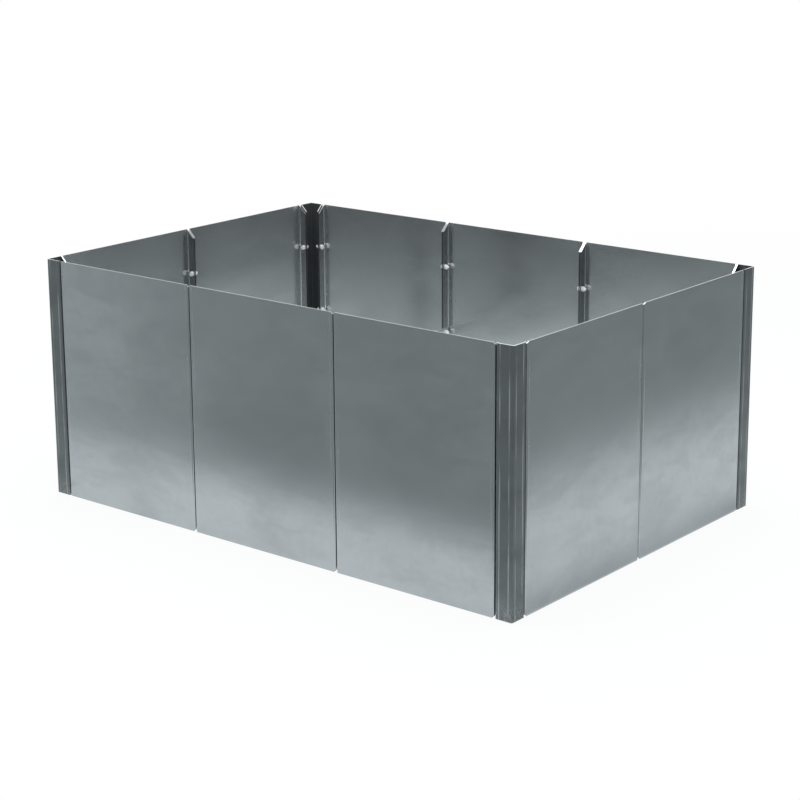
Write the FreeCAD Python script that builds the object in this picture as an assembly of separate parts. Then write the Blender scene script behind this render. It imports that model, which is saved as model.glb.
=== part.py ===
"""Raised garden bed: a ring of folded steel panels and corner posts, bolted together through
their inward flanges and tied across by flat bars. It has no floor: it stands on the soil.

Millimetres, +Z up. The origin is the middle of the footprint, on the ground. The long walls
run along X, the front one is on the -Y side, and the short walls run along Y.
"""

import FreeCAD
import Part
import math
import os

# Modules and overall height
long_wall_panels = 3
short_wall_panels = 2
panel_width = 497.0
post_face = 51.0
bed_height = 680.0
joint_gap = 3.0

# Folded sheet
sheet = 2.5
bend_radius = 2.0
flange_depth = 25.0
panel_corner_cut = 0.5
post_shoulder = 0.5

# Rows of bolts through the flanges
hole_setback = 9.0
edge_row_height = 135.0

# Flat bars across the bed
brace_height = 30.0
brace_thickness = 3.0
brace_end_clearance = 1.5

# M8 hexagon bolts, nuts and spacers. Their round parts are prisms with this many sides.
round_sides = 8
thread_diameter = 8.0
bolt_length = 20.0
head_across_flats = 13.0
head_height = 5.3
nut_across_flats = 13.0
nut_height = 6.8
spacer_diameter = 16.0
hole_clearance = 0.5
spacer_clearance = 0.2
thread_clearance = 0.1

# Worked out from the sizes above
outer_bend = bend_radius + sheet
post_corner_cut = -(outer_bend + post_shoulder)
post_pitch = post_face + joint_gap / 2
panel_pitch = panel_width + joint_gap
bed_length = 2 * post_pitch + long_wall_panels * panel_pitch
bed_width = 2 * post_pitch + short_wall_panels * panel_pitch
hole_depth = flange_depth - hole_setback
grip_half = joint_gap / 2 + sheet
middle_height = bed_height / 2
row_heights = [edge_row_height, middle_height, bed_height - edge_row_height]
CUT_MARGIN = 1.0

X_AXIS = FreeCAD.Vector(1, 0, 0)
Y_AXIS = FreeCAD.Vector(0, 1, 0)
Z_AXIS = FreeCAD.Vector(0, 0, 1)


def polygon_prism(points, along):
    """Solid prism: a closed outline of (x, y, z) points pushed along a vector."""
    corners = [FreeCAD.Vector(*point) for point in points]
    outline = Part.makePolygon(corners + corners[:1])
    return Part.Face(outline).extrude(along)


def left_normal(start, end):
    """Unit vector pointing left of the way from start to end, seen from above."""
    direction = (end - start).normalize()
    return FreeCAD.Vector(-direction.y, direction.x, 0)


def folded_sheet(outer_points, height):
    """Sheet folded along a path and standing on the ground.

    The path follows the sheet's outer face, with the sheet on its left and every bend to the left.
    """
    path = [FreeCAD.Vector(x, y, 0) for x, y in outer_points]
    normals = [left_normal(start, end) for start, end in zip(path, path[1:])]
    outer_edges = []
    inner_edges = []
    outer_start = path[0]
    inner_start = path[0] + normals[0] * sheet
    for corner, before, after in zip(path[1:-1], normals, normals[1:]):
        bisector = before + after
        centre = corner + bisector * (outer_bend / (1 + before.dot(after)))
        middle = bisector.normalize()
        for edges, start, radius in (
            (outer_edges, outer_start, outer_bend),
            (inner_edges, inner_start, bend_radius),
        ):
            arc_start = centre - before * radius
            arc_end = centre - after * radius
            edges.append(Part.LineSegment(start, arc_start).toShape())
            edges.append(Part.Arc(arc_start, centre - middle * radius, arc_end).toShape())
        outer_start = centre - after * outer_bend
        inner_start = centre - after * bend_radius
    outer_end = path[-1]
    inner_end = path[-1] + normals[-1] * sheet
    outer_edges.append(Part.LineSegment(outer_start, outer_end).toShape())
    inner_edges.append(Part.LineSegment(inner_start, inner_end).toShape())
    first_tip = Part.LineSegment(path[0], path[0] + normals[0] * sheet).toShape()
    last_tip = Part.LineSegment(outer_end, inner_end).toShape()
    edges = Part.__sortEdges__(outer_edges + inner_edges + [first_tip, last_tip])
    return Part.Face(Part.Wire(edges)).extrude(Z_AXIS * height)


def mitre_cutters(side_x, corner_cut):
    """Two prisms that clip the top of the fold at x = side_x, the right-hand end of a web.

    One 45 degree line crosses the flat blank. It starts corner_cut before the bend, on the web, or
    past the bend where corner_cut is negative, and slopes down the flange to its tip.
    """
    top = bed_height + CUT_MARGIN
    web_start = side_x - outer_bend - corner_cut
    web_end = side_x + CUT_MARGIN
    web_cut = polygon_prism(
        [
            (web_start - CUT_MARGIN, -CUT_MARGIN, top),
            (web_end, -CUT_MARGIN, bed_height - (web_end - web_start)),
            (web_end, -CUT_MARGIN, top),
        ],
        Y_AXIS * (outer_bend + CUT_MARGIN),
    )
    flange_start = -corner_cut
    flange_end = flange_depth + CUT_MARGIN
    fold_start = side_x - outer_bend
    flange_cut = polygon_prism(
        [
            (fold_start, flange_start - CUT_MARGIN, top),
            (fold_start, flange_end, bed_height - (flange_end - flange_start)),
            (fold_start, flange_end, top),
        ],
        X_AXIS * (outer_bend + CUT_MARGIN),
    )
    return [web_cut, flange_cut] if corner_cut > 0 else [flange_cut]


def regular_prism(sides, corner_diameter, start_x, length):
    """Prism along X with a regular outline centred on the X axis and two sides upright."""
    angles = [math.pi * (2 * corner + 1) / sides for corner in range(sides)]
    radius = corner_diameter / 2
    points = [(start_x, radius * math.cos(angle), radius * math.sin(angle)) for angle in angles]
    return polygon_prism(points, X_AXIS * length)


def bore(clearance, start_x, length):
    """Cutter along X that leaves a clearance all round the thread."""
    return regular_prism(round_sides, thread_diameter + 2 * clearance, start_x, length)


def drill(start_x, length, place):
    """Cutter for one bolt hole along X."""
    return bore(hole_clearance, start_x, length).translated(place)


def flange_holes(side_x):
    """Cutters for the bolt holes through the flange whose outer face is at x = side_x."""
    start_x = side_x - sheet - CUT_MARGIN
    length = sheet + 2 * CUT_MARGIN
    places = [FreeCAD.Vector(0, hole_depth, height) for height in row_heights]
    return [drill(start_x, length, place) for place in places]


def end_cutters(side_x, corner_cut):
    """All that is cut from one fold: both mitres and the holes."""
    upper = mitre_cutters(side_x, corner_cut)
    middle = FreeCAD.Vector(0, 0, middle_height)
    lower = [cutter.mirror(middle, Z_AXIS) for cutter in upper]
    return upper + lower + flange_holes(side_x)


def make_panel():
    """Wall panel: a flat web with a flange folded inward along each side."""
    path = [(0, flange_depth), (0, 0), (panel_width, 0), (panel_width, flange_depth)]
    body = folded_sheet(path, bed_height)
    right = end_cutters(panel_width, panel_corner_cut)
    middle = FreeCAD.Vector(panel_width / 2, 0, 0)
    left = [cutter.mirror(middle, X_AXIS) for cutter in right]
    return body.cut(right + left)


def make_post():
    """Corner post: an equal angle with a flange folded inward along each free side."""
    path = [
        (flange_depth, post_face),
        (0, post_face),
        (0, 0),
        (post_face, 0),
        (post_face, flange_depth),
    ]
    body = folded_sheet(path, bed_height)
    right = end_cutters(post_face, post_corner_cut)
    diagonal = FreeCAD.Vector(1, -1, 0)
    left = [cutter.mirror(FreeCAD.Vector(), diagonal) for cutter in right]
    return body.cut(right + left)


def make_brace(seam_x):
    """Flat bar on edge across the bed, bolted to the flange on the +X side of two seams."""
    end_inset = outer_bend + brace_end_clearance
    face_x = seam_x + grip_half
    corner = FreeCAD.Vector(face_x, end_inset - bed_width / 2, middle_height - brace_height / 2)
    bar = Part.makeBox(brace_thickness, bed_width - 2 * end_inset, brace_height, corner)
    hole_y = bed_width / 2 - hole_depth
    places = [FreeCAD.Vector(0, y, middle_height) for y in (-hole_y, hole_y)]
    length = brace_thickness + 2 * CUT_MARGIN
    return bar.cut([drill(face_x - CUT_MARGIN, length, place) for place in places])


def hexagon(across_flats, start_x, length):
    """Hexagonal prism along X, measured across its flats."""
    sides = 6
    return regular_prism(sides, across_flats / math.cos(math.pi / sides), start_x, length)


def make_bolt():
    """Hexagon-head bolt: its head bears at x = 0 and its shank points along +X."""
    head = hexagon(head_across_flats, -head_height, head_height)
    shank = regular_prism(round_sides, thread_diameter, 0, bolt_length)
    return head.fuse(shank)


def make_nut():
    """Hexagon nut from x = 0 along +X."""
    body = hexagon(nut_across_flats, 0, nut_height)
    return body.cut(bore(thread_clearance, 0, nut_height))


def make_spacer():
    """Plain spacer across the joint gap, centred on x = 0."""
    body = regular_prism(round_sides, spacer_diameter, -joint_gap / 2, joint_gap)
    return body.cut(bore(spacer_clearance, -joint_gap / 2, joint_gap))


def wall_placement(corner_x, corner_y, turn):
    """Places a wall's own frame: x along the wall from its left end, y into the bed."""
    base = FreeCAD.Vector(corner_x * bed_length / 2, corner_y * bed_width / 2, 0)
    return FreeCAD.Placement(base, FreeCAD.Rotation(Z_AXIS, turn))


def joint_stations(panel_count):
    """Places of the joints along a wall: post to panel, panel to panel, panel to post."""
    return [post_pitch + number * panel_pitch for number in range(panel_count + 1)]


def placed(shape, placement):
    """Copy of a shape moved by a placement."""
    return shape.transformed(placement.toMatrix(), True)


def bolt_stack(station, height, points_right, brace_side):
    """Bolt, nut and spacer of one hole, in the wall's own frame.

    brace_side is +1 or -1 where a cross brace lies on the right or left of the joint, else 0.
    """
    right_face = grip_half + (brace_thickness if brace_side > 0 else 0)
    left_face = grip_half + (brace_thickness if brace_side < 0 else 0)
    head_face, nut_face = (left_face, right_face) if points_right else (right_face, left_face)
    turn = FreeCAD.Rotation(Z_AXIS, 0 if points_right else 180)
    frame = FreeCAD.Placement(FreeCAD.Vector(station, hole_depth, height), turn)
    pieces = {
        "bolts": make_bolt().translated(-X_AXIS * head_face),
        "nuts": make_nut().translated(X_AXIS * nut_face),
        "spacers": make_spacer(),
    }
    return {kind: placed(piece, frame) for kind, piece in pieces.items()}


def wall_fasteners(name, panel_count, brace_side):
    """Fasteners of one wall in its own frame, as {node name: list of solids}.

    Between panels every bolt points left. At a post the head is on the panel's side.
    """
    nodes = {}
    for number, station in enumerate(joint_stations(panel_count)):
        at_last_post = number == panel_count
        between_panels = 0 < number < panel_count
        for height in row_heights:
            side = brace_side if between_panels and height == middle_height else 0
            stack = bolt_stack(station, height, at_last_post, side)
            nodes.setdefault(f"{name}_bolts_{number + 1}", []).append(stack["bolts"])
            nodes.setdefault(f"{name}_nuts_{number + 1}", []).append(stack["nuts"])
            nodes.setdefault(f"{name}_spacers", []).append(stack["spacers"])
    return nodes


def build():
    """Every node of the bed, as {node name: shape}."""
    nodes = {}
    panel = make_panel()
    post = make_post()
    walls = [
        ("front", long_wall_panels, 1, wall_placement(-1, -1, 0), "post_front_left"),
        ("right", short_wall_panels, 0, wall_placement(1, -1, 90), "post_front_right"),
        ("back", long_wall_panels, -1, wall_placement(1, 1, 180), "post_back_right"),
        ("left", short_wall_panels, 0, wall_placement(-1, 1, 270), "post_back_left"),
    ]
    for name, panel_count, brace_side, placement, post_name in walls:
        nodes[post_name] = placed(post, placement)
        for number, station in enumerate(joint_stations(panel_count)[:-1]):
            shifted = panel.translated(X_AXIS * (station + joint_gap / 2))
            nodes[f"{name}_panel_{number + 1}"] = placed(shifted, placement)
        for node, solids in wall_fasteners(name, panel_count, brace_side).items():
            nodes[node] = placed(Part.makeCompound(solids), placement)
    for number, station in enumerate(joint_stations(long_wall_panels)[1:-1]):
        nodes[f"cross_brace_{number + 1}"] = make_brace(station - bed_length / 2)
    return nodes


os.makedirs("parts", exist_ok=True)
for node_name, node_shape in build().items():
    node_shape.exportStep(f"parts/{node_name}.step")
    print(node_name, len(node_shape.Solids), "solids", round(node_shape.Volume), "mm3")
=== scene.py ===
"""Finishes a raised garden bed of galvanised steel and sets it in a plain pale studio.

The bed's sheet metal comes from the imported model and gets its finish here. The fasteners are made
again in full detail. Everything is in metres, with +Z up and the bed's middle at the origin.
"""

import math

import bpy
import numpy as np
from mathutils import Matrix, Vector


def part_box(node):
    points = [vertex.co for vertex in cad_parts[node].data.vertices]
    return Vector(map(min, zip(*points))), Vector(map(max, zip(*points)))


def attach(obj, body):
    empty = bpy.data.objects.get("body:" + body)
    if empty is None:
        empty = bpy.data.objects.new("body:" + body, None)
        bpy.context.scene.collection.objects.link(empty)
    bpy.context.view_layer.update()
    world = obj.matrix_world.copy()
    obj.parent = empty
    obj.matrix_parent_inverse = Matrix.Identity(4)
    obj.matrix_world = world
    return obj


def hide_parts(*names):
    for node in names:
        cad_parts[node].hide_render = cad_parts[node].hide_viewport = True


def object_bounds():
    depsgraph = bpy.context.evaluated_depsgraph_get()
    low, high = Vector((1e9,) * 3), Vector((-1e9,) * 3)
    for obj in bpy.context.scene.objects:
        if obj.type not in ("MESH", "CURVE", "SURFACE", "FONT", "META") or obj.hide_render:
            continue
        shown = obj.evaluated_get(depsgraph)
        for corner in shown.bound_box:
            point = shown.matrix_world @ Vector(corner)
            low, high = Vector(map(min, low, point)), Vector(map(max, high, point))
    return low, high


bl_info = {
    "name": "Galvanised Garden Bed",
    "version": (1, 0, 0),
    "blender": (4, 5, 0),
    "location": "View3D > Sidebar > Garden Bed",
    "description": "Galvanised finish, detailed fasteners and a studio for a raised garden bed",
    "category": "Object",
}

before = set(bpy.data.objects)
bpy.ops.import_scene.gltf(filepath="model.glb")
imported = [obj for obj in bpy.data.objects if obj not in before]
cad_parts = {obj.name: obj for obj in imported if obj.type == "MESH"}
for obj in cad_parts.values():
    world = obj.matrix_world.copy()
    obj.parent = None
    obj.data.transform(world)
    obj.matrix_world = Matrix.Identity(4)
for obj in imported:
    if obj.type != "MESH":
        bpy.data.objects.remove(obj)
CAD_LOW, CAD_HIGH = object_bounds()
BODY = "root"
LONG_WALLS = ("front", "back")
SHORT_WALLS = ("right", "left")
ROW_COUNT = 3
HEX_SIDES = 6
MILLIMETRE = 0.001
WHITE = (1.0, 1.0, 1.0, 1.0)
BLACK = (0.0, 0.0, 0.0, 1.0)

# Steps round one turn, in one turn of thread and across the floor.
TURN_STEPS = 48
SPACER_STEPS = 40
THREAD_STEPS = 6
FLOOR_STEPS = 96
FLOOR_RINGS = 24

# Slope of the cone on a bolt head or nut, and the angle past which an edge looks sharp.
CONE_SLOPE = math.tan(math.radians(30))
SHARP_ANGLE = math.radians(35)

# Half the length of wall in which a joint's own spacers lie.
JOINT_SPAN = 0.05

# Noise waves per metre, along X, Y and Z where they differ.
CLOUD_SCALE = (3.1, 3.1, 4.4)
SMEAR_SCALE = (6.0, 6.0, 15.0)
GRAIN_SCALE = (260.0, 260.0, 900.0)
WAVE_SCALE = (2.3, 2.3, 2.9)
DRIFT_SCALE = (6.0, 6.0, 9.0)
WEAR_SCALE = (30.0, 30.0, 9.0)
STREAK_SCALE = (500.0, 500.0, 120.0)
MOTTLE_SCALE = 55.0
SPECK_SCALE = 95.0
HANDLING_SCALE = 300.0
PLATING_SCALE = 2600.0

# Noise levels between which each mark goes from none to full.
CLOUD_LEVELS = (0.32, 0.68)
SMEAR_LEVELS = (0.40, 0.66)
SPECK_LEVELS = (0.80, 0.86)
WEAR_LEVELS = (0.30, 0.65)
STREAK_LEVELS = (0.42, 0.62)
HANDLING_LEVELS = (0.45, 0.75)

# How much each mark dulls, darkens or roughens the zinc.
CLOUD_SHARE = 0.55
SMEAR_SHARE = 0.40
MOTTLE_SHARE = 0.50
SPECK_SHARE = 0.50
SPECK_DARKNESS = 0.45
HANDLING_DARKNESS = 0.72
MOTTLE_ROUGHNESS = 0.06
MARK_ROUGHNESS = 0.10
HANDLING_ROUGHNESS = 0.12

# Depth of a press mark, height of the plating's grain, and a press mark's core as a share of it.
MARK_DEPTH = 0.0002
PLATING_HEIGHT = 0.00001
MARK_CORE = 0.3

# Borders of the flanges' painted shade as multiples of their reach, and of the cut edges'
# painted highlight as the normal's Z.
FLANGE_BORDER = 1.1
WEB_BORDER = 1.5
EDGE_BORDERS = (0.4, 0.6)

# Width of the floor's sharp borders.
FLOOR_BORDER = 0.01

# The backdrop's sides as the cosine of the angle from its middle, its top and the room's ends as
# the sine of the height, and how far the camera sees.
BACKDROP_SIDES = (0.25, 0.65)
BACKDROP_TOP = (0.45, 0.75)
ROOM_HEIGHTS = (0.0, 0.9)
CLIP_END = 100.0


# ---------------------------------------------------------------- settings


def length(name, description, default):
    """Float property for a length in metres."""
    return bpy.props.FloatProperty(
        name=name, description=description, default=default, unit="LENGTH", precision=5
    )


def angle(name, description, degrees):
    """Float property for an angle, given in degrees."""
    return bpy.props.FloatProperty(
        name=name, description=description, default=math.radians(degrees), subtype="ANGLE"
    )


def factor(name, description, default):
    """Float property from 0 to 1."""
    return bpy.props.FloatProperty(
        name=name, description=description, default=default, min=0.0, max=1.0, subtype="FACTOR"
    )


def number(name, description, default):
    """Plain float property."""
    return bpy.props.FloatProperty(name=name, description=description, default=default)


def colour(name, description, default):
    """Linear colour property."""
    return bpy.props.FloatVectorProperty(
        name=name, description=description, default=default, size=3, subtype="COLOR"
    )


class SheetSettings(bpy.types.PropertyGroup):
    """Finish of the galvanised sheet and bar."""

    panel_colour: colour("Panel colour", "Zinc on the wall panels", (0.600, 0.621, 0.630))
    panel_shade: colour("Panel clouds", "Duller zinc in the clouds", (0.510, 0.530, 0.540))
    post_colour: colour("Post colour", "Zinc on the corner posts", (0.187, 0.205, 0.209))
    post_shade: colour("Post clouds", "Duller zinc on the posts", (0.140, 0.155, 0.158))
    brace_colour: colour("Brace colour", "Zinc on the cross braces", (0.56, 0.58, 0.59))
    mark_colour: colour("Tool mark colour", "Zinc rubbed by the press", (0.66, 0.68, 0.69))
    # Cut edges facing up or down: bare steel, painted lighter as a highlight.
    cut_edge_and_highlight_colour: colour("Cut edge colour", "Bare steel of the sheared edges", (0.80, 0.82, 0.83))
    panel_metallic: factor("Panel metallic", "Share of bare zinc on panels and braces", 0.96)
    post_metallic: factor("Post metallic", "Share of bare zinc on the posts, the rest patina", 0.60)
    panel_roughness: factor("Panel roughness", "Satin of the wall panels", 0.17)
    post_roughness: factor("Post roughness", "Satin of the corner posts", 0.40)
    smear_roughness: factor("Smear roughness", "Extra roughness of wiped smears", 0.05)
    mark_distance: length("Tool mark distance", "From a fold to the press mark", 0.0115)
    mark_width: length("Tool mark width", "Width of a press mark", 0.0022)
    mark_wander: length("Tool mark wander", "How far a press mark strays", 0.0020)
    panel_marks: factor("Panel press marks", "Strength of the marks on the panels", 0.25)
    post_marks: factor("Post press marks", "Strength of the marks on the posts", 0.55)
    post_scuffs: factor("Post scuffs", "Strength of the scuffs at the posts' feet", 0.35)
    scuff_height: length("Scuff height", "How far up the posts are scuffed", 0.07)
    flange_reach: length("Flange reach", "From a seam's middle to a flange's far face", 0.0041)
    # Painted shade: the flanges and the posts' insides are darkened to the cloud colour times this share.
    painted_shade_share: factor("Hidden zinc", "Brightness of the flanges and the posts' insides", 0.60)
    wave_height: length("Waviness", "Height of the sheet's slow waves", 0.0003)
    grain_height: length("Grain height", "Height of the fine zinc grain", 0.00001)


class FastenerSettings(bpy.types.PropertyGroup):
    """Sizes and finish of the bolts, nuts and spacers."""

    zinc_colour: colour("Zinc colour", "Bright zinc plating", (0.93, 0.94, 0.95))
    spacer_colour: colour("Spacer colour", "Dull zinc plating", (0.52, 0.54, 0.55))
    roughness: factor("Roughness", "Satin of the plating", 0.28)
    metallic: factor("Metallic", "Share of bare zinc, the rest being its pale passivation", 0.40)
    across_flats: length("Across flats", "Width of bolt heads and nuts", 0.013)
    head_height: length("Head height", "Height of a bolt head", 0.0053)
    thread_diameter: length("Thread diameter", "Outer diameter of the thread", 0.008)
    thread_pitch: length("Thread pitch", "Distance between two turns", 0.00125)
    thread_depth: length("Thread depth", "Depth of the thread", 0.00072)
    top_share: factor("Top face", "Round top face, as a share of the width", 0.93)
    spacer_diameter: length("Spacer diameter", "Outer diameter of a spacer", 0.016)
    edge_break: length("Edge break", "Small chamfer on turned edges", 0.0004)


class StudioSettings(bpy.types.PropertyGroup):
    """Camera, lamps and floor."""

    camera_place: bpy.props.FloatVectorProperty(
        name="Camera place", description="Where the camera stands", size=3,
        default=(3.45571, -4.20774, 1.82996), subtype="TRANSLATION",
    )
    camera_azimuth: angle("Azimuth", "Turn of the view from straight ahead", 39.28556)
    camera_elevation: angle("Elevation", "How far the view looks down", 13.54972)
    camera_roll: angle("Roll", "Tilt of the camera about its view", -0.37662)
    lens: number("Lens", "Focal length in millimetres", 91.245)
    shift: number("Vertical shift", "Shift of the lens, as a share of the frame", -0.1)
    floor_radius: length("Floor radius", "Radius of the pale floor", 14.0)
    # Painted light on the floor, seen only by the bed's metal: the floor tones below glow in place of the
    # studio's light.
    inside_floor_glow: colour("Floor inside the bed", "Pale floor", (0.95, 1.0, 1.0))
    paper_colour_and_glow: colour("Floor colour", "Pale paper round the bed", (0.700, 0.750, 0.772))
    far_floor_glow: colour("Far floor colour", "Floor past the paper", (0.242, 0.275, 0.283))
    left_floor_glow: colour("Left floor colour", "Floor on the -X side", (0.40, 0.445, 0.455))
    left_slant: number("Left floor slant", "How far its border goes to -X per metre to -Y", 1.1)
    left_span: bpy.props.FloatVectorProperty(
        name="Left floor border", description="Where the left floor's tone starts and is full",
        size=2, default=(-0.75, 0.10), unit="LENGTH",
    )
    # Reach of the painted pool of light on the paper round the bed, on each side, and how softly it fades.
    paper_front: length("Paper before the bed", "How far white paper reaches there", 0.41)
    paper_back: length("Paper behind the bed", "How far white paper reaches there", 3.0)
    paper_right: length("Paper right of the bed", "How far white paper reaches there", 0.57)
    paper_left: length("Paper left of the bed", "How far white paper reaches there", 1.2)
    paper_blur: factor("Paper blur", "Share of its reach over which the paper fades", 1.0)
    contact_reach: length("Contact shade reach", "How far the shade beside a short wall goes", 0.16)
    contact_share: factor("Contact shade", "Share of the light lost at a short wall's foot", 0.30)
    shadow_share: factor("Shadow", "Share of the bed's shadow that the camera sees", 0.08)
    softbox_size: length("Softbox size", "Side of the square softbox", 2.6)
    softbox_height: length("Softbox height", "Height of the softbox", 2.9)
    softbox_power: number("Softbox power", "Power of the softbox in watts", 90.0)
    room_low: colour("Room at the horizon", "Light from the sides", (0.26, 0.28, 0.285))
    room_high: colour("Room overhead", "Light from above", (1.00, 1.00, 1.00))
    backdrop_azimuth: angle("Backdrop azimuth", "Turn of the white backdrop from +Y", 39.3)


# ---------------------------------------------------------------- shader maths


class Signal:
    """One shader socket. Arithmetic on signals adds Math nodes to their tree."""

    def __init__(self, shader, socket):
        self.shader = shader
        self.socket = socket

    def __add__(self, other):
        return self.shader.math("ADD", self, other)

    __radd__ = __add__

    def __sub__(self, other):
        return self.shader.math("SUBTRACT", self, other)

    def __rsub__(self, other):
        return self.shader.math("SUBTRACT", other, self)

    def __mul__(self, other):
        return self.shader.math("MULTIPLY", self, other)

    __rmul__ = __mul__

    def __abs__(self):
        return self.shader.math("ABSOLUTE", self)


class Shader:
    """An empty node tree of a material or world, with one method that adds any node."""

    def __init__(self, owner):
        owner.use_nodes = True
        self.tree = owner.node_tree
        self.tree.nodes.clear()

    def add(self, kind, settings=None, inputs=None, output=0):
        """Adds a node, makes its settings, fills its inputs and returns one output."""
        node = self.tree.nodes.new(kind)
        for name, value in (settings or {}).items():
            setattr(node, name, value)
        for name, value in (inputs or {}).items():
            if isinstance(value, Signal):
                self.tree.links.new(value.socket, node.inputs[name])
            else:
                node.inputs[name].default_value = value
        return Signal(self, node.outputs[output]) if node.outputs else None

    def math(self, operation, *values):
        """Math node of numbers or signals."""
        return self.add("ShaderNodeMath", {"operation": operation}, dict(enumerate(values)))

    def vector_math(self, operation, *values, output=0):
        """Vector Math node of vectors or signals."""
        inputs = dict(enumerate(values))
        return self.add("ShaderNodeVectorMath", {"operation": operation}, inputs, output)

    def coordinates(self, kind="Object"):
        """Place or direction of the shaded point."""
        return self.add("ShaderNodeTexCoord", None, None, kind)

    def part(self, place, axis):
        """One coordinate of a place."""
        return self.add("ShaderNodeSeparateXYZ", None, {0: place}, axis)

    def stretch(self, place, scale):
        """A place with each of its coordinates multiplied."""
        return self.vector_math("MULTIPLY", place, scale)

    def noise(self, place, scale, detail, distortion=0.0):
        """Noise between 0 and 1 at a place. A scale may have one value for each axis."""
        if isinstance(scale, tuple):
            place = self.stretch(place, scale)
            scale = 1.0
        inputs = {"Vector": place, "Scale": scale, "Detail": detail, "Distortion": distortion}
        return self.add("ShaderNodeTexNoise", None, inputs, "Fac")

    def ramp(self, value, low, high):
        """0 below low, 1 above high and smooth in between."""
        settings = {"interpolation_type": "SMOOTHSTEP"}
        inputs = {"Value": value, "From Min": low, "From Max": high}
        return self.add("ShaderNodeMapRange", settings, inputs)

    def triangle(self, value, top):
        """Triangle wave of a value: 0 at 0, up to top and back to 0 at twice top."""
        return self.math("PINGPONG", value, top)

    def blend(self, share, first, second):
        """Colour that goes from the first to the second as the share goes from 0 to 1."""
        settings = {"data_type": "RGBA"}
        return self.add("ShaderNodeMix", settings, {0: share, 6: first, 7: second}, 2)

    def bump(self, height, distance, normal=None):
        """Normal of a surface raised by a height times a distance."""
        inputs = {"Height": height, "Distance": distance}
        if normal is not None:
            inputs["Normal"] = normal
        return self.add("ShaderNodeBump", None, inputs)


def opaque(tone, share=1.0):
    """A share of a colour, with full alpha."""
    return (*(level * share for level in tone), 1.0)


# ---------------------------------------------------------------- finishes


def depths(shader, place):
    """How far a place lies inside the bed's outer faces, along X and along Y."""
    halves = (CAD_HIGH.x, CAD_HIGH.y)
    return [half - abs(shader.part(place, axis)) for axis, half in enumerate(halves)]


def panel_folds(axis, seam, pitch, reach):
    """Measures panels: the distance from the nearest seam, and a mask of painted shade that is 1 on the
    flanges.
    """
    def measure(shader, place):
        distance = shader.triangle(shader.part(place, axis) - seam, pitch / 2)
        beside = 1.0 - shader.ramp(distance, reach, reach * FLANGE_BORDER)
        behind = shader.ramp(depths(shader, place)[1 - axis], reach, reach * WEB_BORDER)
        return distance, beside * behind
    return measure


def post_folds(face):
    """Measures posts: the distance from the nearest fold, and a mask of painted shade that is 1 on all
    that faces the bed.
    """
    def measure(shader, place):
        inward = depths(shader, place)
        distance = shader.math("MAXIMUM", *(shader.triangle(depth, face / 2) for depth in inward))
        painted_shade_mask = shader.ramp(shader.math("MINIMUM", *inward), MILLIMETRE, 2 * MILLIMETRE)
        return distance, painted_shade_mask
    return measure


def press_marks(shader, place, distance, settings):
    """1 on the wandering line that a press leaves beside each fold, 0 elsewhere."""
    drift = shader.noise(place, DRIFT_SCALE, 3.0) - 0.5
    stray = abs(distance - settings.mark_distance + drift * (2 * settings.mark_wander))
    line = 1.0 - shader.ramp(stray, settings.mark_width * MARK_CORE, settings.mark_width)
    wear = shader.ramp(shader.noise(place, WEAR_SCALE, 2.0), *WEAR_LEVELS)
    return line * wear


def surfaced(shader, tone, metallic, roughness, normal):
    """Ends a material's tree with a principled surface."""
    inputs = {"Base Color": tone, "Metallic": metallic, "Roughness": roughness, "Normal": normal}
    surface = shader.add("ShaderNodeBsdfPrincipled", None, inputs)
    shader.add("ShaderNodeOutputMaterial", None, {"Surface": surface})


def galvanised(name, settings, base, shade, metallic, roughness, folds=None, mark_strength=0.0, scuff=0.0):
    """Galvanised sheet: slow clouds, wiped smears, fine grain, specks, press marks, scuffed feet,
    pale cut edges of bare steel painted lighter as a highlight, and painted shade on the flanges
    and the posts' insides."""
    material = bpy.data.materials.new(name)
    shader = Shader(material)
    place = shader.coordinates()
    clouds = shader.ramp(shader.noise(place, CLOUD_SCALE, 4.0, 0.6), *CLOUD_LEVELS)
    smears = shader.ramp(shader.noise(place, SMEAR_SCALE, 4.0, 0.5), *SMEAR_LEVELS)
    specks = shader.ramp(shader.noise(place, SPECK_SCALE, 1.0), *SPECK_LEVELS)
    mottle = shader.noise(place, MOTTLE_SCALE, 3.0, 0.3) - 0.5
    dullness = clouds * CLOUD_SHARE + smears * SMEAR_SHARE + mottle * MOTTLE_SHARE
    tone = shader.blend(dullness, opaque(base), opaque(shade))
    tone = shader.blend(specks * SPECK_SHARE, tone, opaque(shade, SPECK_DARKNESS))
    satin = roughness + smears * settings.smear_roughness + mottle * MOTTLE_ROUGHNESS
    normal = shader.bump(shader.noise(place, WAVE_SCALE, 1.0), settings.wave_height)
    normal = shader.bump(shader.noise(place, GRAIN_SCALE, 2.0), settings.grain_height, normal)
    if folds is not None:
        distance, painted_shade_mask = folds(shader, place)
        # Painted shade: darkens the flanges and all of a post that faces the bed.
        tone = shader.blend(painted_shade_mask, tone, opaque(shade, settings.painted_shade_share))
        marks = press_marks(shader, place, distance, settings) * (1.0 - painted_shade_mask)
        tone = shader.blend(marks * mark_strength, tone, opaque(settings.mark_colour))
        satin = satin + marks * MARK_ROUGHNESS
        normal = shader.bump(marks * -1.0, MARK_DEPTH, normal)
    if scuff > 0:
        low = 1.0 - shader.ramp(shader.part(place, "Z"), 0.0, settings.scuff_height)
        streaks = shader.ramp(shader.noise(place, STREAK_SCALE, 3.0), *STREAK_LEVELS)
        tone = shader.blend(low * streaks * scuff, tone, opaque(settings.mark_colour))
    # Painted highlight: cut edges facing up or down get a lighter colour, which also stands for their bare
    # steel.
    steepness = abs(shader.part(shader.coordinates("Normal"), "Z"))
    cut = shader.ramp(steepness, *EDGE_BORDERS)
    tone = shader.blend(cut, tone, opaque(settings.cut_edge_and_highlight_colour))
    surfaced(shader, tone, metallic, satin, normal)
    return material


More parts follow.
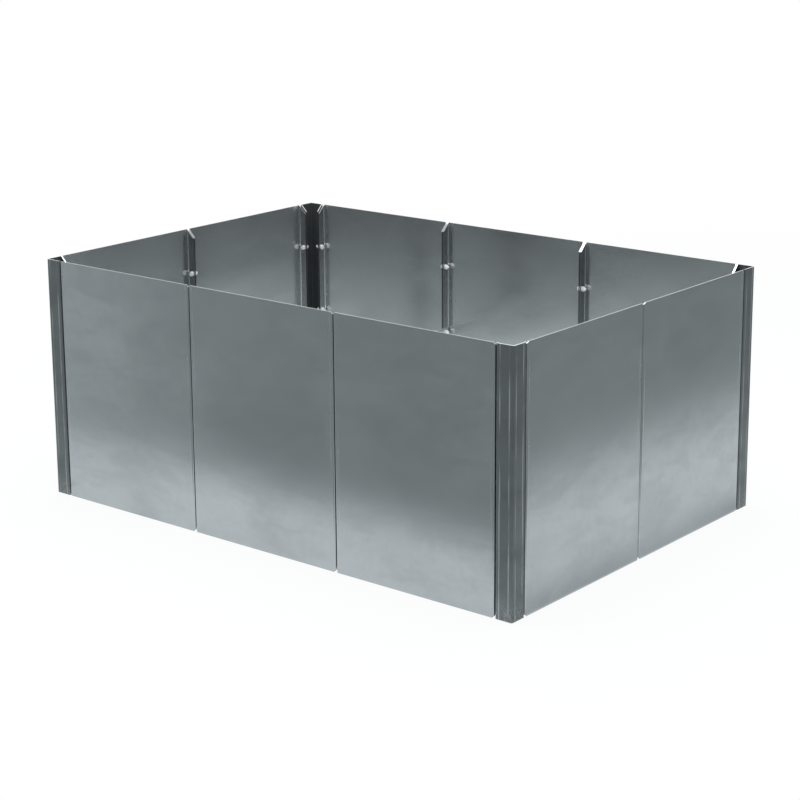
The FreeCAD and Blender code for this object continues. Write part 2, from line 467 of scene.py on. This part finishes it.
def plated(name, settings, base):
    """Zinc plating: bright, with faint handling marks and a fine grain."""
    material = bpy.data.materials.new(name)
    shader = Shader(material)
    place = shader.coordinates()
    handling = shader.noise(place, HANDLING_SCALE, 4.0, 0.5)
    dulled = shader.ramp(handling, *HANDLING_LEVELS)
    tone = shader.blend(dulled, opaque(base), opaque(base, HANDLING_DARKNESS))
    satin = settings.roughness + handling * HANDLING_ROUGHNESS
    normal = shader.bump(shader.noise(place, PLATING_SCALE, 2.0), PLATING_HEIGHT)
    surfaced(shader, tone, settings.metallic, satin, normal)
    return material


# ---------------------------------------------------------------- surfaces


def grid_faces(rows, columns, offset):
    """Quads of a grid that closes on itself across its columns."""
    row, column = np.meshgrid(np.arange(rows - 1), np.arange(columns), indexing="ij")
    following = (column + 1) % columns
    corners = (
        row * columns + column,
        row * columns + following,
        (row + 1) * columns + following,
        (row + 1) * columns + column,
    )
    return np.stack(corners, axis=-1).reshape(-1, 4) + offset


def around(count):
    """Angles of one turn."""
    return np.arange(count) * (2 * np.pi / count)


def hexagon_radius(turn, across_flats):
    """Distance from the axis to a hexagon's side: half its width over the cosine of the angle
    from the middle of that side. Two of the sides are upright."""
    sixth = 2 * np.pi / HEX_SIDES
    from_middle = (turn + sixth / 2) % sixth - sixth / 2
    return across_flats / 2 / np.cos(from_middle)


def wound(radius, place, turn):
    """Points (place along x, radius at an angle) for arrays of rows by turns."""
    radius, place, turn = np.broadcast_arrays(radius, place, turn)
    return np.stack((place, radius * np.cos(turn), radius * np.sin(turn)), axis=-1)


def bolt_surface(settings, shank_length):
    """A hexagon bolt from the middle of its head's top, at x = -head height, to its tip.

    The head's side meets a 30 degree cone round its top face. The shank's radius falls by the
    thread's depth times a triangle wave of (x / pitch - turns), and tapers at the tip.
    """
    turn = around(TURN_STEPS)[None, :]
    side = hexagon_radius(turn, settings.across_flats)
    top = settings.across_flats / 2 * settings.top_share
    shoulder = (side - top) * CONE_SLOPE
    outer = settings.thread_diameter / 2
    head = np.concatenate([
        wound(0.0, -settings.head_height, turn),
        wound(top, -settings.head_height, turn),
        wound(side, -settings.head_height + shoulder, turn),
        wound(side, -settings.edge_break / 2, turn),
        wound(side - settings.edge_break, 0.0, turn),
        wound(outer, 0.0, turn),
    ])
    count = int(shank_length / settings.thread_pitch * THREAD_STEPS)
    place = np.linspace(0.0, shank_length, count)[:, None]
    wave = np.abs((place / settings.thread_pitch - turn / (2 * np.pi)) % 1.0 * 2 - 1)
    taper = np.clip((place - (shank_length - settings.thread_pitch)) / settings.thread_pitch, 0, 1)
    start = np.clip(place / settings.thread_pitch, 0, 1)
    radius = outer - settings.thread_depth * np.maximum(wave * start, taper)
    shank = wound(radius, place, turn)
    tip = wound(0.0, shank_length, turn)
    return np.concatenate([head, shank[1:], tip])


def nut_surface(settings, height):
    """A hexagon nut from x = 0: chamfered at both ends, with a round bore.

    The rows run round the section and come back to the start.
    """
    turn = around(TURN_STEPS)[None, :]
    side = hexagon_radius(turn, settings.across_flats)
    top = settings.across_flats / 2 * settings.top_share
    shoulder = (side - top) * CONE_SLOPE
    bore = settings.thread_diameter / 2 - settings.thread_depth / 2
    flare = settings.thread_diameter / 2 + settings.edge_break
    rows = [
        wound(bore, settings.edge_break * 2, turn),
        wound(flare, 0.0, turn),
        wound(top, 0.0, turn),
        wound(side, shoulder, turn),
        wound(side, height - shoulder, turn),
        wound(top, height, turn),
        wound(flare, height, turn),
        wound(bore, height - settings.edge_break * 2, turn),
    ]
    return np.concatenate(rows + rows[:1])


def spacer_surface(settings, height):
    """A turned ring from x = 0 with all four edges broken."""
    turn = around(SPACER_STEPS)[None, :]
    outer = settings.spacer_diameter / 2
    inner = settings.thread_diameter / 2 + settings.edge_break
    cut = settings.edge_break
    section = [
        (inner, cut), (inner + cut, 0.0), (outer - cut, 0.0), (outer, cut),
        (outer, height - cut), (outer - cut, height), (inner + cut, height), (inner, height - cut),
    ]
    rows = [wound(radius, place, turn) for radius, place in section]
    return np.concatenate(rows + rows[:1])


def make_object(name, surfaces, material):
    """One mesh object from surfaces, each an array of rows by turns by x, y and z."""
    points = []
    faces = []
    offset = 0
    for surface in surfaces:
        rows, columns = surface.shape[:2]
        points.append(surface.reshape(-1, 3))
        faces.append(grid_faces(rows, columns, offset))
        offset += rows * columns
    mesh = bpy.data.meshes.new(name)
    mesh.from_pydata(np.concatenate(points).tolist(), [], np.concatenate(faces).tolist())
    mesh.validate()
    mesh.materials.append(material)
    piece = bpy.data.objects.new(name, mesh)
    bpy.context.scene.collection.objects.link(piece)
    return piece


# ---------------------------------------------------------------- places from the frame


def wall_nodes(kind):
    """Names of the frame's nodes whose name holds a word, in order."""
    return sorted(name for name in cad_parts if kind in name)


def node_points(node):
    """A node's vertices as an array."""
    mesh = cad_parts[node].data
    points = np.empty(len(mesh.vertices) * 3, np.float32)
    mesh.vertices.foreach_get("co", points)
    return points.reshape(-1, 3).astype(float)


def wall_axis(node):
    """0 where a node's wall runs along X, 1 where it runs along Y."""
    return 0 if node.split("_")[0] in LONG_WALLS else 1


def row_boxes(points):
    """Lowest and highest corner of the points in each of a joint's three rows."""
    heights = points[:, 2]
    ordered = np.sort(heights)
    breaks = ordered[np.argsort(np.diff(ordered))[-(ROW_COUNT - 1):]]
    row = sum((heights > limit + MILLIMETRE).astype(int) for limit in breaks)
    return [(points[row == n].min(0), points[row == n].max(0)) for n in range(ROW_COUNT)]


def lay(surface, node, low, high, towards):
    """Turns a surface made along +x to run along its wall, from a box's low or high end."""
    axis = wall_axis(node)
    start = (low + high) / 2
    start[axis] = low[axis] if towards > 0 else high[axis]
    placed = np.empty_like(surface)
    placed[..., axis] = surface[..., 0] * towards
    placed[..., 1 - axis] = surface[..., 1] * (towards if axis == 0 else -towards)
    placed[..., 2] = surface[..., 2]
    return placed + start


# ---------------------------------------------------------------- operators


def paint(names, material):
    """Gives nodes of the frame a finish."""
    for name in names:
        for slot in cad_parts[name].material_slots:
            slot.material = material


def fold_lines(node):
    """Place of a panel's fold and the distance to its other fold, along its wall."""
    low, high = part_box(node)
    axis = wall_axis(node)
    return low[axis], high[axis] - low[axis]


class BED_OT_panels(bpy.types.Operator):
    """Finish the wall panels"""

    bl_idname = "garden_bed.panels"
    bl_label = "Wall panels"

    def execute(self, context):
        settings = context.scene.bed_sheet
        for walls in (LONG_WALLS, SHORT_WALLS):
            names = [name for name in wall_nodes("panel") if name.split("_")[0] in walls]
            axis = wall_axis(names[0])
            start, width = fold_lines(f"{walls[0]}_panel_1")
            following = fold_lines(f"{walls[0]}_panel_2")[0]
            pitch = abs(following - start)
            seam = max(start, following) - (pitch - width) / 2
            material = galvanised(
                f"galvanised_panel_{'xy'[axis]}", settings, settings.panel_colour,
                settings.panel_shade, settings.panel_metallic, settings.panel_roughness,
                panel_folds(axis, seam, pitch, settings.flange_reach), settings.panel_marks,
            )
            paint(names, material)
        return {"FINISHED"}


class BED_OT_posts(bpy.types.Operator):
    """Finish the corner posts"""

    bl_idname = "garden_bed.posts"
    bl_label = "Corner posts"

    def execute(self, context):
        settings = context.scene.bed_sheet
        low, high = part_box("post_front_left")
        material = galvanised(
            "galvanised_post", settings, settings.post_colour, settings.post_shade,
            settings.post_metallic, settings.post_roughness, post_folds(high.x - low.x),
            settings.post_marks, settings.post_scuffs,
        )
        paint(wall_nodes("post"), material)
        return {"FINISHED"}


class BED_OT_braces(bpy.types.Operator):
    """Finish the cross braces"""

    bl_idname = "garden_bed.braces"
    bl_label = "Cross braces"

    def execute(self, context):
        settings = context.scene.bed_sheet
        material = galvanised(
            "galvanised_bar", settings, settings.brace_colour, settings.panel_shade,
            settings.panel_metallic, settings.post_roughness,
        )
        paint(wall_nodes("brace"), material)
        return {"FINISHED"}


def dress_fasteners(nodes, material, make_surfaces):
    """Replaces each fastener node by one detailed piece."""
    for node in nodes:
        piece = make_object(f"{node}_detail", make_surfaces(node), material)
        piece.data.polygons.foreach_set("use_smooth", np.ones(len(piece.data.polygons), bool))
        piece.data.set_sharp_from_angle(angle=SHARP_ANGLE)
        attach(piece, BODY)
        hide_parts(node)


class BED_OT_bolts(bpy.types.Operator):
    """Make the bolts"""

    bl_idname = "garden_bed.bolts"
    bl_label = "Bolts"

    def execute(self, context):
        settings = context.scene.bed_fasteners
        material = plated("zinc_bolt", settings, settings.zinc_colour)

        def surfaces(node):
            axis = wall_axis(node)
            nut_low, nut_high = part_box(node.replace("bolts", "nuts"))
            bolt_low, bolt_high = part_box(node)
            nut_middle = nut_low[axis] + nut_high[axis]
            towards = 1 if nut_middle > bolt_low[axis] + bolt_high[axis] else -1
            made = []
            for low, high in row_boxes(node_points(node)):
                shank = high[axis] - low[axis] - settings.head_height
                surface = bolt_surface(settings, shank)
                surface[..., 0] += settings.head_height
                made.append(lay(surface, node, low, high, towards))
            return made

        dress_fasteners(wall_nodes("bolts"), material, surfaces)
        return {"FINISHED"}


class BED_OT_nuts(bpy.types.Operator):
    """Make the nuts"""

    bl_idname = "garden_bed.nuts"
    bl_label = "Nuts"

    def execute(self, context):
        settings = context.scene.bed_fasteners
        material = plated("zinc_nut", settings, settings.zinc_colour)

        def surfaces(node):
            axis = wall_axis(node)
            return [
                lay(nut_surface(settings, high[axis] - low[axis]), node, low, high, 1)
                for low, high in row_boxes(node_points(node))
            ]

        dress_fasteners(wall_nodes("nuts"), material, surfaces)
        return {"FINISHED"}


class BED_OT_spacers(bpy.types.Operator):
    """Make the spacers"""

    bl_idname = "garden_bed.spacers"
    bl_label = "Spacers"

    def execute(self, context):
        settings = context.scene.bed_fasteners
        material = plated("zinc_spacer", settings, settings.spacer_colour)

        def surfaces(node):
            axis = wall_axis(node)
            wall = node.split("_")[0]
            made = []
            for nuts in wall_nodes(f"{wall}_nuts"):
                nut_low, nut_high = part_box(nuts)
                middle = (nut_low[axis] + nut_high[axis]) / 2
                points = node_points(node)
                near = np.abs(points[:, axis] - middle) < JOINT_SPAN
                for low, high in row_boxes(points[near]):
                    height = high[axis] - low[axis]
                    made.append(lay(spacer_surface(settings, height), node, low, high, 1))
            return made

        dress_fasteners(wall_nodes("spacers"), material, surfaces)
        return {"FINISHED"}


class BED_OT_studio(bpy.types.Operator):
    """Make the floor, the lamps and the camera"""

    bl_idname = "garden_bed.studio"
    bl_label = "Studio"

    def execute(self, context):
        settings = context.scene.bed_studio
        make_floor(settings)
        make_room(settings)
        make_softbox(settings)
        make_camera(settings)
        context.scene.view_settings.view_transform = "Standard"
        return {"FINISHED"}


def make_floor(settings):
    """Round floor: rings of points at radii that grow with the square of the row."""
    turn = around(FLOOR_STEPS)[None, :]
    radius = np.linspace(0.0, 1.0, FLOOR_RINGS)[:, None] ** 2 * settings.floor_radius
    surface = wound(radius, np.zeros_like(radius), turn)[..., [1, 2, 0]]
    make_object("floor", [surface], floor_paint(settings))


def beyond_bed(shader, place):
    """How far a place lies outside the bed's footprint, along X and along Y."""
    corner = (CAD_HIGH.x, CAD_HIGH.y, 0.0)
    outward = shader.vector_math("SUBTRACT", shader.vector_math("ABSOLUTE", place), corner)
    return shader.vector_math("MAXIMUM", outward, (0.0, 0.0, 0.0))


def paper_distance(shader, outward, across, along, settings):
    """Distance from the bed as a share of how far the paper reaches on that side."""
    rightward = shader.ramp(across, -FLOOR_BORDER, FLOOR_BORDER)
    behind = shader.ramp(along, -FLOOR_BORDER, FLOOR_BORDER)
    right, left = 1.0 / settings.paper_right, 1.0 / settings.paper_left
    front, back = 1.0 / settings.paper_front, 1.0 / settings.paper_back
    scales = {0: left + rightward * (right - left), 1: front + behind * (back - front)}
    scaled = shader.stretch(outward, shader.add("ShaderNodeCombineXYZ", None, scales))
    return shader.vector_math("LENGTH", scaled, output="Value")


def contact_shade(shader, outward, settings):
    """Share of the light lost on the floor at the foot of the short walls."""
    beside = shader.ramp(shader.part(outward, "X"), 0.0, FLOOR_BORDER)
    gap = shader.vector_math("LENGTH", outward, output="Value")
    return beside * (1.0 - shader.ramp(gap, 0.0, settings.contact_reach)) * settings.contact_share


def floor_paint(settings):
    """Pale paper. The camera sees it white, with a faint shadow beside the bed. For the bed's metal it
    glows with painted light: white inside the bed, a pale pool out to the paper's edge, dimmer
    beyond and lighter to the left, with painted shade at the foot of the short walls."""
    material = bpy.data.materials.new("floor_paper")
    shader = Shader(material)
    place = shader.coordinates()
    across = shader.part(place, "X")
    along = shader.part(place, "Y")
    outward = beyond_bed(shader, place)
    distance = paper_distance(shader, outward, across, along, settings)
    half = settings.paper_blur / 2
    near = 1.0 - shader.ramp(distance, 1.0 - half, 1.0 + half)
    before = shader.math("MINIMUM", along, 0.0)
    leftward = shader.ramp(before * settings.left_slant - across, *settings.left_span)
    # Painted light: a pale pool round the bed, white inside it, dimmer floor beyond and a lighter patch to
    # the left.
    far = shader.blend(leftward, opaque(settings.far_floor_glow), opaque(settings.left_floor_glow))
    tone = shader.blend(near, far, opaque(settings.paper_colour_and_glow))
    outside = shader.ramp(distance, 0.0, FLOOR_BORDER)
    tone = shader.blend(outside, opaque(settings.inside_floor_glow), tone)
    tone = shader.blend(contact_shade(shader, outward, settings), tone, BLACK)
    camera_ray, glossy_ray, clear_ray = (
        shader.add("ShaderNodeLightPath", None, None, ray)
        for ray in ("Is Camera Ray", "Is Glossy Ray", "Is Transmission Ray")
    )
    tone = shader.blend(camera_ray, tone, WHITE)
    paper = shader.add("ShaderNodeBsdfDiffuse", None, {"Color": opaque(settings.paper_colour_and_glow)})
    # The floor glows with this painted light for the bed's metal; the camera sees it white.
    white = shader.add("ShaderNodeEmission", None, {"Color": tone, "Strength": 1.0})
    share = camera_ray * (1.0 - near * settings.shadow_share) + glossy_ray + clear_ray
    surface = shader.add("ShaderNodeMixShader", None, {0: share, 1: paper, 2: white})
    shader.add("ShaderNodeOutputMaterial", None, {"Surface": surface})
    return material


def make_room(settings):
    """World: a white backdrop on one side and a darker room, lighter overhead, on the other.

    The camera sees white all round.
    """
    world = bpy.data.worlds.new("studio_room")
    bpy.context.scene.world = world
    shader = Shader(world)
    camera_ray = shader.add("ShaderNodeLightPath", None, None, "Is Camera Ray")
    direction = shader.coordinates("Generated")
    height = shader.part(direction, "Z")
    turn = settings.backdrop_azimuth
    ahead = (-math.sin(turn), math.cos(turn), 0.0)
    facing = shader.vector_math("DOT_PRODUCT", direction, ahead, output="Value")
    backdrop = shader.ramp(facing, *BACKDROP_SIDES) * (1.0 - shader.ramp(height, *BACKDROP_TOP))
    rise = shader.ramp(height, *ROOM_HEIGHTS)
    room = shader.blend(rise, opaque(settings.room_low), opaque(settings.room_high))
    tone = shader.blend(shader.math("MAXIMUM", camera_ray, backdrop), room, WHITE)
    surface = shader.add("ShaderNodeBackground", None, {"Color": tone, "Strength": 1.0})
    shader.add("ShaderNodeOutputWorld", None, {"Surface": surface})


def make_softbox(settings):
    """Square lamp straight above the bed."""
    lamp = bpy.data.lights.new("softbox", "AREA")
    lamp.shape = "SQUARE"
    lamp.size = settings.softbox_size
    lamp.energy = settings.softbox_power
    holder = bpy.data.objects.new("softbox", lamp)
    holder.location = (0.0, 0.0, settings.softbox_height)
    holder.visible_camera = False
    bpy.context.scene.collection.objects.link(holder)


def make_camera(settings):
    """Camera of the photograph, from its place, azimuth, elevation and roll."""
    azimuth = settings.camera_azimuth
    elevation = settings.camera_elevation
    forward = Vector((
        -math.sin(azimuth) * math.cos(elevation),
        math.cos(azimuth) * math.cos(elevation),
        -math.sin(elevation),
    ))
    level = forward.cross(Vector((0.0, 0.0, 1.0))).normalized()
    upward = level.cross(forward)
    roll = settings.camera_roll
    right = level * math.cos(roll) + upward * math.sin(roll)
    top = upward * math.cos(roll) - level * math.sin(roll)
    lens = bpy.data.cameras.new("camera")
    lens.lens = settings.lens
    lens.shift_y = settings.shift
    lens.clip_end = CLIP_END
    camera = bpy.data.objects.new("camera", lens)
    turn = Matrix((right, top, -forward)).transposed().to_4x4()
    camera.matrix_world = Matrix.Translation(settings.camera_place) @ turn
    bpy.context.scene.collection.objects.link(camera)
    bpy.context.scene.camera = camera


# ---------------------------------------------------------------- add-on


OPERATORS = (
    BED_OT_panels,
    BED_OT_posts,
    BED_OT_braces,
    BED_OT_bolts,
    BED_OT_nuts,
    BED_OT_spacers,
    BED_OT_studio,
)


class BED_PT_sidebar(bpy.types.Panel):
    """Lists the pieces and their settings"""

    bl_idname = "BED_PT_sidebar"
    bl_label = "Garden Bed"
    bl_space_type = "VIEW_3D"
    bl_region_type = "UI"
    bl_category = "Garden Bed"

    def draw(self, context):
        for operator in OPERATORS:
            self.layout.operator(operator.bl_idname)
        for name in SETTINGS:
            group = getattr(context.scene, name)
            box = self.layout.box()
            for key in group.__annotations__:
                box.prop(group, key)


SETTINGS = {
    "bed_sheet": SheetSettings,
    "bed_fasteners": FastenerSettings,
    "bed_studio": StudioSettings,
}
CLASSES = (*SETTINGS.values(), *OPERATORS, BED_PT_sidebar)


def register():
    """Registers the classes and hangs the settings on the scene."""
    for kind in CLASSES:
        bpy.utils.register_class(kind)
    for name, group in SETTINGS.items():
        setattr(bpy.types.Scene, name, bpy.props.PointerProperty(type=group))


def unregister():
    """Takes the settings and classes away again."""
    for name in SETTINGS:
        delattr(bpy.types.Scene, name)
    for kind in reversed(CLASSES):
        bpy.utils.unregister_class(kind)


def main():
    """Registers the add-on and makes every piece."""
    register()
    for operator in OPERATORS:
        group, action = operator.bl_idname.split(".")
        getattr(getattr(bpy.ops, group), action)()


if __name__ == "__main__":
    main()
